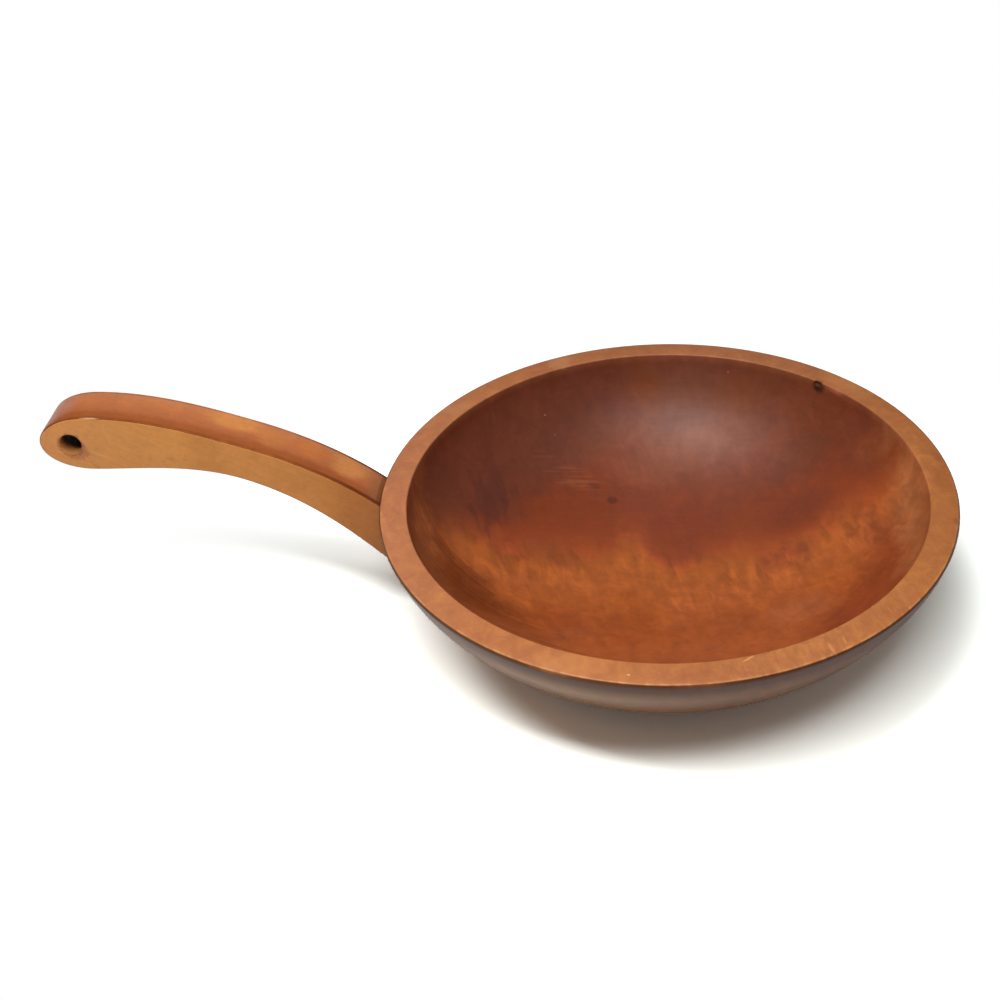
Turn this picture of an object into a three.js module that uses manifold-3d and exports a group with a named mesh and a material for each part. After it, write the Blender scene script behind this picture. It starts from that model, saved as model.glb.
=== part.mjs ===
// A turned wooden serving bowl with one curved, flat-sided handle. The handle's inner end is hollowed
// to fit the bowl's side, and two countersunk wood screws hold it there from below.
// Millimetres, +Z up. The origin is the centre of the bowl's flat base. The handle points along -X.

import * as THREE from 'three';
import { mergeVertices } from 'three/addons/utils/BufferGeometryUtils.js';
import Module from 'manifold-3d';

const wasm = await Module();
wasm.setup();

// Bowl
const bowlHeight = 64;
const sideRadius = 122.5; // the widest radius that the side leans out towards
const flareHeight = 7; // how far above the rim the side would stand upright
const sideFullness = 1.74; // 2 is an ellipse, and less is leaner
const baseRadius = 54;
const baseEase = 1.5;
const rimWidth = 12.4;
const rimFall = 0.7; // the rim face is this much lower at its outer edge
const outerArris = 1.2;
const innerArris = 0.8;
const floorThickness = 11;
const hollowFullness = 1.82;

// Handle, measured in its side view from the bowl's rim and side
const handleThickness = 21.5;
const handleReach = 143; // from the bowl's widest radius to the end of the butt
const buttRise = 27.5; // height of the butt's middle over the rim
const buttDepth = 26.4;
const buttRound = 22; // length of the butt's rounded end
const waistDepth = 16.7;
const waistDistance = 73; // along the handle, from its root to its waist
const rootDepth = 20.8;
const rootDrop = 21; // the root's middle is this far below the rim
const rootStandoff = 5; // and this far out from the bowl's side
const rootAngle = THREE.MathUtils.degToRad(46);
const rootLead = 78;
const buttLead = 32;
const toeDrop = 46; // the inner end dies away on the bowl's side, this far below the rim
const toeLead = 13;
const toeRound = 24;
const handleArris = 2;
const hangHoleRadius = 4.8;
const hangHoleInset = 13.7; // from the end of the butt to the hole's centre

// Screws
const screwRadius = 2.1;
const screwHeadRadius = 4.2;
const screwHeadHeight = 2.6;
const screwHeadEdge = 0.5; // the thin upright edge round the head
const screwPoint = 3;
const slotWidth = 1.1;
const slotDepth = 1.2;
const headRecess = 1; // how far the lower head is sunk below the wood
const woodUnderTip = 3; // bowl wall left uncut beyond each screw
const upperScrewAboveRoot = 7; // on the bowl's side, above the middle of the handle's root
const lowerScrewAboveToe = 17; // on the bowl's side, above the handle's toe

// Fits
const glueGap = 0.3;
const screwClearance = 0.3;

// Smoothness
const turnSteps = 96;
const wallSteps = 14;
const arrisSteps = 3;
const handleSteps = 30;
const endSteps = 7;
const holeSteps = 32;

const cornerTolerance = 0.0001; // corners nearer than this are one corner

// A closed geometry becomes a solid once its shared corners are one vertex each.
function toSolid(geometry) {
  const bare = geometry.clone();
  bare.deleteAttribute('normal');
  bare.deleteAttribute('uv');
  const merged = mergeVertices(bare, cornerTolerance);
  const corners = merged.index.array;
  const triangles = [];
  for (let i = 0; i < corners.length; i += 3) {
    const [a, b, c] = [corners[i], corners[i + 1], corners[i + 2]];
    if (a !== b && b !== c && c !== a) triangles.push(a, b, c);
  }
  const vertProperties = new Float32Array(merged.attributes.position.array);
  const triVerts = new Uint32Array(triangles);
  return new wasm.Manifold(new wasm.Mesh({ numProp: 3, vertProperties, triVerts }));
}

function toGeometry(solid) {
  const mesh = solid.getMesh();
  const geometry = new THREE.BufferGeometry();
  geometry.setAttribute('position', new THREE.BufferAttribute(mesh.vertProperties, 3));
  geometry.setIndex(new THREE.BufferAttribute(mesh.triVerts, 1));
  geometry.computeVertexNormals();
  return geometry;
}

// A profile of (radius, height) points turned round the Z axis.
function turned(profile, steps) {
  return new THREE.LatheGeometry(profile, steps).rotateX(Math.PI / 2);
}

// The bowl's side is a superellipse that stands upright above the rim and meets the base circle.
const sideTop = bowlHeight + flareHeight;
const sideDepth = sideTop / (1 - (baseRadius / sideRadius) ** sideFullness) ** (1 / sideFullness);

function sideRadiusAt(height) {
  const fall = (sideTop - height) / sideDepth;
  return sideRadius * (1 - fall ** sideFullness) ** (1 / sideFullness);
}

// The direction square to the side and away from the wood, in (radius, height).
function sideNormalAt(height) {
  const step = 0.01;
  const lean = (sideRadiusAt(height + step) - sideRadiusAt(height - step)) / (2 * step);
  return new THREE.Vector2(1, -lean).normalize();
}

// The hollow is a superellipse too, from the rim's inner edge down to the floor.
const hollowRadius = sideRadiusAt(bowlHeight) - rimWidth;
const hollowDepth = bowlHeight - floorThickness;

function hollowPoints() {
  const points = [];
  for (let i = 0; i < wallSteps; i++) {
    const turn = (i / wallSteps) * (Math.PI / 2);
    const radius = hollowRadius * Math.cos(turn) ** (2 / hollowFullness);
    const depth = hollowDepth * Math.sin(turn) ** (2 / hollowFullness);
    points.push(new THREE.Vector2(radius, bowlHeight - Math.max(depth, innerArris)));
  }
  points.push(new THREE.Vector2(0, floorThickness));
  return points;
}

// The side from the base to the rim, moved outwards by a margin.
function sidePoints(lowest, highest, margin) {
  const points = [];
  for (let i = 0; i <= wallSteps; i++) {
    const height = THREE.MathUtils.lerp(lowest, highest, i / wallSteps);
    const point = new THREE.Vector2(sideRadiusAt(height), height);
    points.push(point.addScaledVector(sideNormalAt(height), margin));
  }
  return points;
}

// A rounded arris: a quarter turn about a centre, from one direction to another.
function arrisPoints(centre, radius, from, to) {
  const points = [];
  for (let i = 1; i < arrisSteps; i++) {
    const angle = THREE.MathUtils.lerp(from, to, i / arrisSteps);
    const arm = new THREE.Vector2(Math.cos(angle), Math.sin(angle));
    points.push(centre.clone().addScaledVector(arm, radius));
  }
  return points;
}

// The rim face and the hollow, from the outside of the rim to the middle of the floor.
function rimAndHollowPoints() {
  const sideEnd = bowlHeight - rimFall - outerArris;
  const outerCentre = new THREE.Vector2(sideRadiusAt(sideEnd) - outerArris, sideEnd);
  const innerCentre = new THREE.Vector2(hollowRadius + innerArris, bowlHeight - innerArris);
  return [
    ...arrisPoints(outerCentre, outerArris, 0, Math.PI / 2),
    new THREE.Vector2(outerCentre.x, outerCentre.y + outerArris),
    new THREE.Vector2(innerCentre.x, bowlHeight),
    ...arrisPoints(innerCentre, innerArris, Math.PI / 2, Math.PI),
    ...hollowPoints(),
  ];
}

// The bowl is turned from one blank: base, side, rim face and hollow in one profile.
function bowlSolid() {
  const profile = [
    new THREE.Vector2(0, 0),
    new THREE.Vector2(sideRadiusAt(baseEase) - baseEase, 0),
    ...sidePoints(baseEase, bowlHeight - rimFall - outerArris, 0),
    ...rimAndHollowPoints(),
  ];
  return toSolid(turned(profile, turnSteps));
}

// What the handle's inner end is hollowed with: the bowl's side, a glue line larger all round.
function copingSolid() {
  const above = bowlHeight + buttRise + buttDepth;
  const side = sidePoints(baseEase, bowlHeight, glueGap);
  const profile = [
    new THREE.Vector2(0, side[0].y),
    ...side,
    new THREE.Vector2(side[wallSteps].x, above),
    new THREE.Vector2(0, above),
  ];
  return toSolid(turned(profile, turnSteps));
}

// The handle's middle line in its side view: off the bowl's side, then one sweep up to the butt.
const butt = new THREE.Vector2(sideRadius + handleReach, bowlHeight + buttRise);
const toeHeight = bowlHeight - toeDrop;
const rootHeight = bowlHeight - rootDrop;

function handleLine() {
  const toe = new THREE.Vector2(sideRadiusAt(toeHeight), toeHeight);
  const toeNormal = sideNormalAt(toeHeight);
  const toeDirection = new THREE.Vector2(-toeNormal.y, toeNormal.x);
  const root = new THREE.Vector2(sideRadiusAt(rootHeight) + rootStandoff, rootHeight);
  const rootDirection = new THREE.Vector2(Math.cos(rootAngle), Math.sin(rootAngle));
  const tongue = new THREE.CubicBezierCurve(
    toe,
    toe.clone().addScaledVector(toeDirection, toeLead),
    root.clone().addScaledVector(rootDirection, -toeLead),
    root,
  );
  const grip = new THREE.CubicBezierCurve(
    root,
    root.clone().addScaledVector(rootDirection, rootLead),
    new THREE.Vector2(butt.x - buttLead, butt.y),
    butt,
  );
  const line = new THREE.CurvePath();
  line.add(tongue);
  line.add(grip);
  return { line, rootAt: tongue.getLength(), length: line.getLength() };
}

// The handle's depth at a distance along its middle line, with both ends rounded like an ellipse.
function handleDepth(distance, { rootAt, length }) {
  const { smoothstep, lerp, clamp } = THREE.MathUtils;
  const waistAt = rootAt + waistDistance;
  const narrowing = smoothstep(distance, rootAt, waistAt);
  const swelling = smoothstep(distance, waistAt, length - buttRound);
  const depth = lerp(lerp(rootDepth, waistDepth, narrowing), buttDepth, swelling);
  const intoToe = clamp(1 - distance / toeRound, 0, 1);
  const intoButt = clamp(1 - (length - distance) / buttRound, 0, 1);
  return depth * Math.sqrt(1 - intoToe ** 2) * Math.sqrt(1 - intoButt ** 2);
}

// Distances along the handle, closer together where its ends turn.
function handleStations({ length }) {
  const stations = [];
  for (let i = 0; i < endSteps; i++) {
    stations.push(toeRound * (1 - Math.cos(((i / endSteps) * Math.PI) / 2)));
  }
  for (let i = 0; i < handleSteps; i++) {
    stations.push(THREE.MathUtils.lerp(toeRound, length - buttRound, i / handleSteps));
  }
  for (let i = 0; i <= endSteps; i++) {
    stations.push(length - buttRound * (1 - Math.sin(((i / endSteps) * Math.PI) / 2)));
  }
  return stations;
}

// The handle's upper and lower edges in its side view, both from the toe to the butt.
function handleEdges() {
  const handle = handleLine();
  const upper = [];
  const lower = [];
  for (const distance of handleStations(handle)) {
    const share = THREE.MathUtils.clamp(distance / handle.length, 0, 1);
    const middle = handle.line.getPointAt(share);
    const along = handle.line.getTangentAt(share);
    const across = new THREE.Vector2(-along.y, along.x);
    const half = handleDepth(distance, handle) / 2;
    upper.push(middle.clone().addScaledVector(across, half));
    lower.push(middle.clone().addScaledVector(across, -half));
  }
  return { upper, lower };
}

// How far a straight line runs from its start to where it crosses a row of points.
function distanceAcross(start, direction, points) {
  const offsets = points.map((point) => point.clone().sub(start));
  const sides = offsets.map((offset) => direction.cross(offset));
  const next = sides.findIndex((side, i) => i > 0 && side > 0 !== sides[i - 1] > 0);
  const share = sides[next - 1] / (sides[next - 1] - sides[next]);
  return offsets[next - 1].lerp(offsets[next], share).dot(direction);
}

// A screw's seat: where it crosses the bowl's side, and how much wood it has each way.
function screwSeat(height, lower) {
  const start = new THREE.Vector2(sideRadiusAt(height), height);
  const normal = sideNormalAt(height);
  const wall = distanceAcross(start, normal.clone().negate(), rimAndHollowPoints());
  const cover = distanceAcross(start, normal, lower);
  return { start, normal, wall, cover };
}

// Puts a shape made along +Z on a screw's line, with its zero where the line crosses the bowl's side.
function onScrewLine(geometry, { start, normal }) {
  const lean = Math.atan2(-normal.x, normal.y);
  return geometry.rotateY(lean).translate(-start.x, 0, start.y);
}

function screwGeometry(bite, grip) {
  const shankTop = grip - screwHeadHeight;
  const profile = [
    new THREE.Vector2(0, -bite),
    new THREE.Vector2(screwRadius, screwPoint - bite),
    new THREE.Vector2(screwRadius, shankTop),
    new THREE.Vector2(screwHeadRadius, grip - screwHeadEdge),
    new THREE.Vector2(screwHeadRadius, grip),
    new THREE.Vector2(0, grip),
  ];
  const blank = toSolid(turned(profile, holeSteps));
  const slot = new THREE.BoxGeometry(4 * screwHeadRadius, slotWidth, 2 * slotDepth);
  return toGeometry(blank.subtract(toSolid(slot.translate(0, 0, grip))));
}

// The drilling for one screw: pilot hole, shank hole, countersink and counterbore, as one tool.
function drillGeometry(bite, grip) {
  const shankHole = screwRadius + screwClearance;
  const headHole = screwHeadRadius + screwClearance;
  const beyond = grip + 4 * rootDepth; // well clear of the handle
  const profile = [
    new THREE.Vector2(0, -bite - screwClearance),
    new THREE.Vector2(shankHole, screwPoint - bite - screwClearance),
    new THREE.Vector2(shankHole, grip - screwHeadHeight - screwClearance),
    new THREE.Vector2(headHole, grip - screwHeadEdge - screwClearance),
    new THREE.Vector2(headHole, beyond),
    new THREE.Vector2(0, beyond),
  ];
  return turned(profile, holeSteps);
}

// The handle is sawn from a board, its arrises are rounded, and its inner end is hollowed to the bowl.
function handleSolid(upper, lower) {
  const outline = new THREE.Shape([...lower, ...upper.slice(1, -1).reverse()]);
  const board = new THREE.ExtrudeGeometry(outline, {
    depth: handleThickness - 2 * handleArris,
    bevelEnabled: true,
    bevelThickness: handleArris,
    bevelSize: handleArris,
    bevelOffset: -handleArris,
    bevelSegments: arrisSteps,
    steps: 1,
  });
  board.translate(0, 0, handleArris - handleThickness / 2);
  board.rotateX(Math.PI / 2).rotateZ(Math.PI);
  const hole = new THREE.CylinderGeometry(hangHoleRadius, hangHoleRadius, 2 * handleThickness, holeSteps);
  hole.translate(hangHoleInset - butt.x, 0, butt.y);
  return toSolid(board).subtract(copingSolid()).subtract(toSolid(hole));
}

const bowlWood = new THREE.MeshStandardMaterial({ color: 0x8a4322, roughness: 0.35, metalness: 0 });
const handleWood = new THREE.MeshStandardMaterial({ color: 0xb9743a, roughness: 0.45, metalness: 0 });
const screwSteel = new THREE.MeshStandardMaterial({ color: 0x9a958c, roughness: 0.4, metalness: 1 });

function addPiece(name, geometry, material) {
  const piece = new THREE.Mesh(geometry, material);
  piece.name = name;
  group.add(piece);
}

const group = new THREE.Group();
const { upper, lower } = handleEdges();
let bowl = bowlSolid();
let handle = handleSolid(upper, lower);

// Both screws are the same, so the thinner wall and the thinner cover set them.
const seats = {
  upper_handle_screw: screwSeat(rootHeight + upperScrewAboveRoot, lower),
  lower_handle_screw: screwSeat(toeHeight + lowerScrewAboveToe, lower),
};
const bite = Math.min(...Object.values(seats).map((seat) => seat.wall)) - woodUnderTip;
const grip = Math.min(...Object.values(seats).map((seat) => seat.cover)) - headRecess;
for (const seat of Object.values(seats)) {
  const drill = toSolid(onScrewLine(drillGeometry(bite, grip), seat));
  bowl = bowl.subtract(drill);
  handle = handle.subtract(drill);
}

addPiece('bowl', toGeometry(bowl), bowlWood);
addPiece('handle', toGeometry(handle), handleWood);
for (const [name, seat] of Object.entries(seats)) {
  addPiece(name, onScrewLine(screwGeometry(bite, grip), seat), screwSteel);
}

export default group;
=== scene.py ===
import math

import bpy
from mathutils import Matrix, Vector
from mathutils.kdtree import KDTree


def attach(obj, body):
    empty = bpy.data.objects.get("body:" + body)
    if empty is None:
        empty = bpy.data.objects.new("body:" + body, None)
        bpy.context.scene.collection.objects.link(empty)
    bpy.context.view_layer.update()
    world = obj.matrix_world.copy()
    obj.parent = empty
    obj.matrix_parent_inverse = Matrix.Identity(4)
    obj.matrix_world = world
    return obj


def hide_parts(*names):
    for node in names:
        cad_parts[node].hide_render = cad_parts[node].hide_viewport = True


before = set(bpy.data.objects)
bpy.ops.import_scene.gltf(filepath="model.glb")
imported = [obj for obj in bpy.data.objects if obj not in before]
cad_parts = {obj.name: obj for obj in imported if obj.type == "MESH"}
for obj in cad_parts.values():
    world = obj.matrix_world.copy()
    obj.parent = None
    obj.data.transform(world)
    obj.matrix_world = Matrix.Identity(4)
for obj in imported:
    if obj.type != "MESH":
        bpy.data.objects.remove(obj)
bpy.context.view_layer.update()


# Camera. It stands in front of the bowl, about 46 cm over the table, and looks down at 36 degrees
# with the handle on the left. The lens is a short telephoto, so the near rim is only a little wider.
camera_place = (0.01580, -0.55036, 0.46240)
camera_turn = math.radians(8.897)
camera_tilt = math.radians(53.958)
camera_roll = math.radians(-4.576)
camera = bpy.data.objects.new("camera", bpy.data.cameras.new("camera"))
camera.data.sensor_width = 36
camera.data.lens = 57.6
camera.data.clip_start = 0.01
camera.matrix_world = (
    Matrix.Translation(camera_place)
    @ Matrix.Rotation(camera_turn, 4, "Z")
    @ Matrix.Rotation(camera_tilt, 4, "X")
    @ Matrix.Rotation(camera_roll, 4, "Z")
)
bpy.context.scene.collection.objects.link(camera)
bpy.context.scene.camera = camera
bpy.context.scene.view_settings.view_transform = "Standard"


# Bowl. One piece of maple, turned on a lathe from a blank with its grain along X: flat base, a side
# that leans out, a flat rim with eased edges, and a round hollow. It was stained dark and varnished.
mm = 0.001
bowl_height = 64 * mm
side_radius = 122.5 * mm
flare_height = 7 * mm
side_fullness = 1.74
base_radius = 54 * mm
base_ease = 1.5 * mm
rim_width = 12.4 * mm
rim_fall = 0.7 * mm
outer_arris = 1.2 * mm
inner_arris = 0.8 * mm
floor_thickness = 11 * mm
hollow_fullness = 1.82
side_steps = 48
hollow_steps = 56
lathe_steps = 192
smooth_angle = math.radians(35)
side_top = bowl_height + flare_height
side_depth = side_top / (1 - (base_radius / side_radius) ** side_fullness) ** (1 / side_fullness)


def side_radius_at(height):
    """The radius of the bowl's side at a height over its base."""
    fall = (side_top - height) / side_depth
    return side_radius * (1 - fall**side_fullness) ** (1 / side_fullness)


def side_normal_at(height):
    """The direction square to the side and out of the wood, in the XZ plane."""
    step = 0.01 * mm
    lean = (side_radius_at(height + step) - side_radius_at(height - step)) / (2 * step)
    return Vector((1, 0, -lean)).normalized()


def side_line(lowest, highest, margin, steps):
    """The side's profile from one height to another, moved outwards by a margin."""
    heights = [lowest + (highest - lowest) * i / steps for i in range(steps + 1)]
    return [Vector((side_radius_at(h), 0, h)) + side_normal_at(h) * margin for h in heights]


def arc(centre, radius, start, end, steps):
    """Points on an arc in the XZ plane, between its ends and without them."""
    turns = [start + (end - start) * i / steps for i in range(1, steps)]
    return [centre + Vector((math.cos(t), 0, math.sin(t))) * radius for t in turns]


hollow_radius = side_radius_at(bowl_height) - rim_width
hollow_depth = bowl_height - floor_thickness
side_end = bowl_height - rim_fall - outer_arris
outer_centre = Vector((side_radius_at(side_end) - outer_arris, 0, side_end))
inner_centre = Vector((hollow_radius + inner_arris, 0, bowl_height - inner_arris))
outer_round = arc(outer_centre, outer_arris, 0, math.pi / 2, 6)
inner_round = arc(inner_centre, inner_arris, math.pi / 2, math.pi, 4)
hollow_line = []
for step in range(hollow_steps):
    turn = step / hollow_steps * math.pi / 2
    radius = hollow_radius * math.cos(turn) ** (2 / hollow_fullness)
    depth = max(hollow_depth * math.sin(turn) ** (2 / hollow_fullness), inner_arris)
    hollow_line.append(Vector((radius, 0, bowl_height - depth)))
bowl_line = [
    Vector((0, 0, 0)),
    Vector((side_radius_at(base_ease) - base_ease, 0, 0)),
    *side_line(base_ease, side_end, 0, side_steps),
    *outer_round,
    outer_centre + Vector((0, 0, outer_arris)),
    Vector((inner_centre.x, 0, bowl_height)),
    *inner_round,
    *hollow_line,
    Vector((0, 0, floor_thickness)),
]


def draw_line(name, points):
    """Draws a line of edges, by extruding one corner from each point to the next."""
    bpy.ops.object.select_all(action="DESELECT")
    bpy.ops.mesh.primitive_plane_add(size=mm, location=points[0])
    piece = bpy.context.object
    piece.name = name
    bpy.ops.object.transform_apply(location=True)
    bpy.context.tool_settings.mesh_select_mode = (True, False, False)
    bpy.ops.object.mode_set(mode="EDIT")
    bpy.ops.mesh.merge(type="CENTER")
    for start, end in zip(points, points[1:]):
        bpy.ops.mesh.extrude_vertices_move(TRANSFORM_OT_translate={"value": end - start})
    bpy.ops.mesh.select_all(action="SELECT")
    return piece


def turn_line(steps):
    """Turns the line being edited once round the Z axis, and closes the skin at its seam and poles."""
    bpy.ops.mesh.spin(steps=steps, angle=math.tau, center=(0, 0, 0), axis=(0, 0, 1))
    bpy.ops.mesh.select_all(action="SELECT")
    bpy.ops.mesh.remove_doubles(threshold=0.01 * mm)
    bpy.ops.mesh.normals_make_consistent(inside=False)
    bpy.ops.object.mode_set(mode="OBJECT")


def cut_away(piece, tool):
    """Cuts the tool's shape out of the piece, and puts the tool away."""
    bpy.ops.object.select_all(action="DESELECT")
    bpy.context.view_layer.objects.active = piece
    piece.select_set(True)
    cut = piece.modifiers.new("cut", "BOOLEAN")
    cut.operation = "DIFFERENCE"
    cut.solver = "EXACT"
    cut.object = tool
    bpy.ops.object.modifier_apply(modifier=cut.name)
    bpy.data.objects.remove(tool)


bowl = draw_line("turned_bowl", bowl_line)
turn_line(lathe_steps)

# A knot broke out at the inner arris, at the back right, and left a small ragged pit.
bpy.ops.object.select_all(action="DESELECT")
bpy.ops.mesh.primitive_ico_sphere_add(subdivisions=2, radius=mm)
pit = bpy.context.object
pit.scale = (2.4, 1.2, 1.5)
pit.rotation_euler.z = -0.68
pit.location = (68.4 * mm, 85.2 * mm, 62.6 * mm)
bpy.ops.object.transform_apply(location=True, rotation=True, scale=True)
bpy.ops.object.mode_set(mode="EDIT")
bpy.ops.mesh.select_all(action="SELECT")
bpy.ops.transform.vertex_random(offset=0.2 * mm, seed=3)
bpy.ops.object.mode_set(mode="OBJECT")
cut_away(bowl, pit)
bpy.ops.object.shade_smooth_by_angle(angle=smooth_angle)


def linear(hex_colour):
    """An sRGB hex colour as the linear colour that a shader takes."""
    channels = [int(hex_colour[i : i + 2], 16) / 255 for i in (1, 3, 5)]
    return (*[c / 12.92 if c <= 0.04045 else ((c + 0.055) / 1.055) ** 2.4 for c in channels], 1)


def fill(node, inputs):
    """Links or fills a shader node's inputs, by their names or numbers."""
    for socket, value in inputs.items():
        if isinstance(value, bpy.types.NodeSocket):
            node.id_data.links.new(value, node.inputs[socket])
        else:
            node.inputs[socket].default_value = value


def add_node(material, kind, inputs, **settings):
    """Adds a shader node with its settings and inputs, and gives the first of its outputs in use."""
    node = material.node_tree.nodes.new("ShaderNode" + kind)
    for name, value in settings.items():
        setattr(node, name, value)
    fill(node, inputs)
    return next((output for output in node.outputs if output.enabled), None)


def set_stops(ramp, stops):
    """Sets a colour ramp's stops, from the first one's place to the last one's."""
    first, *between, last = stops
    elements = ramp.node.color_ramp.elements
    elements[0].color = linear(stops[first])
    elements[1].color = linear(stops[last])
    for place in between:
        elements.new((place - first) / (last - first)).color = linear(stops[place])


def spot(material, within, place, turn, half_sizes, strength, noise, fray, core=0.3, name="spot"):
    """The share of a spot: its strength in the core, and nothing past its half sizes and frayed edge."""
    inside = add_node(
        material,
        "Mapping",
        {"Vector": within, "Location": place, "Rotation": turn, "Scale": half_sizes},
        vector_type="TEXTURE",
    )
    off = add_node(material, "VectorMath", {0: inside}, operation="LENGTH")
    frayed = add_node(material, "Math", {0: noise, 1: fray, 2: off}, operation="MULTIPLY_ADD")
    edge = {"From Min": 1 + fray / 2, "From Max": core + fray / 2, "To Max": strength}
    return add_node(
        material, "MapRange", {"Value": frayed, **edge}, interpolation_type="SMOOTHSTEP", name=name
    )


def stretched_noise(material, within, turn, sizes, inputs):
    """A noise for figure or grain that runs one way, stretched to sizes in millimetres and turned."""
    place = add_node(
        material, "Mapping", {"Vector": within, "Rotation": turn, "Scale": sizes}, vector_type="TEXTURE"
    )
    return add_node(material, "TexNoise", {"Vector": place, "Scale": 1, **inputs})


# The way round the bowl's profile, kept on its mesh in millimetres, tells the finish where the side,
# the rim and the hollow begin.
profile_way = [0.0]
for start, end in zip(bowl_line, bowl_line[1:]):
    profile_way.append(profile_way[-1] + (end - start).length / mm)
rim_outer = profile_way[bowl_line.index(outer_round[len(outer_round) // 2])]
rim_inner = profile_way[bowl_line.index(inner_round[-1])]
profile_tree = KDTree(len(bowl_line))
for number, point in enumerate(bowl_line):
    profile_tree.insert(point, number)
profile_tree.balance()
way = bowl.data.attributes.new("profile_way", "FLOAT", "POINT")
for corner, kept in zip(bowl.data.vertices, way.data):
    flat = Vector((math.hypot(corner.co.x, corner.co.y), 0, corner.co.z))
    kept.value = profile_way[profile_tree.find(flat)[1]]

# Stained and varnished maple. The wiping stain sank in unevenly: the back of the hollow is red-brown and
# its front amber, with curly figure where the two meet. The rim is worn paler, and the satin varnish
# gives a broad, soft shine. Pattern sizes and places are in millimetres.
bowl_maple = bpy.data.materials.new("stained_varnished_maple")
bowl_maple.use_nodes = True
bowl_shader = bowl_maple.node_tree.nodes["Principled BSDF"]
bowl_where = add_node(bowl_maple, "TexCoord", {}).node.outputs["Object"]
bowl_place = add_node(bowl_maple, "Mapping", {"Vector": bowl_where, "Scale": (1000, 1000, 1000)})
bowl_axes = add_node(bowl_maple, "SeparateXYZ", {"Vector": bowl_place}).node.outputs
bowl_way = add_node(bowl_maple, "Attribute", {}, attribute_name="profile_way").node.outputs["Fac"]

# Figure: cloudy mottling, swirls about a centimetre wide, blotches half as wide, flames 5 mm wide that
# run across the grain, narrower ones for the rim, and streaks and fibre along it. The real fibre is
# finer than a pixel, so it is drawn a millimetre wide.
mottle = add_node(
    bowl_maple, "TexNoise", {"Vector": bowl_place, "Scale": 1 / 26, "Detail": 4, "Roughness": 0.6}
)
swirl = add_node(
    bowl_maple,
    "TexNoise",
    {"Vector": bowl_place, "Scale": 1 / 11, "Detail": 4, "Roughness": 0.6, "Distortion": 1.1},
)
blotches = add_node(
    bowl_maple,
    "TexNoise",
    {"Vector": bowl_place, "Scale": 1 / 4.5, "Detail": 3, "Roughness": 0.65, "Distortion": 0.8},
)
flame_finish = {"Detail": 2, "Roughness": 0.5, "Distortion": 0.6}
flames = stretched_noise(bowl_maple, bowl_place, (0, 0, 0.3), (4.6, 13, 13), flame_finish)
rim_flame_finish = {"Detail": 3, "Distortion": 0.9}
rim_flames = stretched_noise(bowl_maple, bowl_place, (0, 0, 0.35), (2.3, 9, 9), rim_flame_finish)
fibre = stretched_noise(bowl_maple, bowl_place, (0, 0, 0), (34, 1.1, 1.1), {"Detail": 3})
streak_turn = (0.94, 0, 0)
streak_sizes = (30, 2.4, 30)
streak_finish = {"Detail": 2, "Distortion": 0.3}
streaks = stretched_noise(bowl_maple, bowl_place, streak_turn, streak_sizes, streak_finish)
fine_finish = {"Scale": 1.6, "Detail": 0}
fine_streaks = stretched_noise(bowl_maple, bowl_place, streak_turn, streak_sizes, fine_finish)

# The stain's edge crosses the hollow from left to right, at the distances across and back from the
# bowl's middle that the two lists give, and is frayed by the figure. What lies behind it is dark, and
# what lies in front of it is amber.
edge_reach = 110
edge_depth = 50
edge_share = add_node(
    bowl_maple, "MapRange", {"Value": bowl_axes["X"], "From Min": -edge_reach, "From Max": edge_reach}
)
stain_edge = add_node(bowl_maple, "FloatCurve", {"Value": edge_share})
edge_line = stain_edge.node.mapping.curves[0].points
edge_line[0].location = (0, 0)
edge_line[-1].location = (1, 40 / edge_depth)
edge_across = (-95, -80, -60, -42, -26, -14, -5, 6, 20, 32, 45, 60, 77, 97)
edge_back = (8, 7, 10, 14, 19, 28, 20, 16, 17, 20, 17, 21, 27, 30)
for x, y in zip(edge_across, edge_back):
    edge_line.new((x + edge_reach) / (2 * edge_reach), y / edge_depth)
stain_edge.node.mapping.update()
past_edge = add_node(
    bowl_maple, "Math", {0: stain_edge, 1: -edge_depth, 2: bowl_axes["Y"]}, operation="MULTIPLY_ADD"
)
fray = ((mottle, 24), (swirl, 22), (flames, 14), (blotches, 8))
behind = past_edge
for noise, depth in fray:
    behind = add_node(bowl_maple, "Math", {0: noise, 1: depth, 2: behind}, operation="MULTIPLY_ADD")
mean_fray = sum(depth for noise, depth in fray) / 2
stain_stops = {
    -80: "#9c491b",
    -54: "#a04e1d",
    -40: "#a85522",
    -24: "#a95827",
    -10: "#a65724",
    3: "#95451f",
    14: "#843a19",
    28: "#7b3414",
    44: "#7c3412",
    58: "#7c3918",
    72: "#7b3d1e",
    90: "#6e3d29",
}
stain_from, stain_to = mean_fray + min(stain_stops), mean_fray + max(stain_stops)
behind_share = add_node(
    bowl_maple, "MapRange", {"Value": behind, "From Min": stain_from, "From Max": stain_to}
)
stain = add_node(bowl_maple, "ValToRGB", {"Fac": behind_share})
set_stops(stain, stain_stops)

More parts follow.
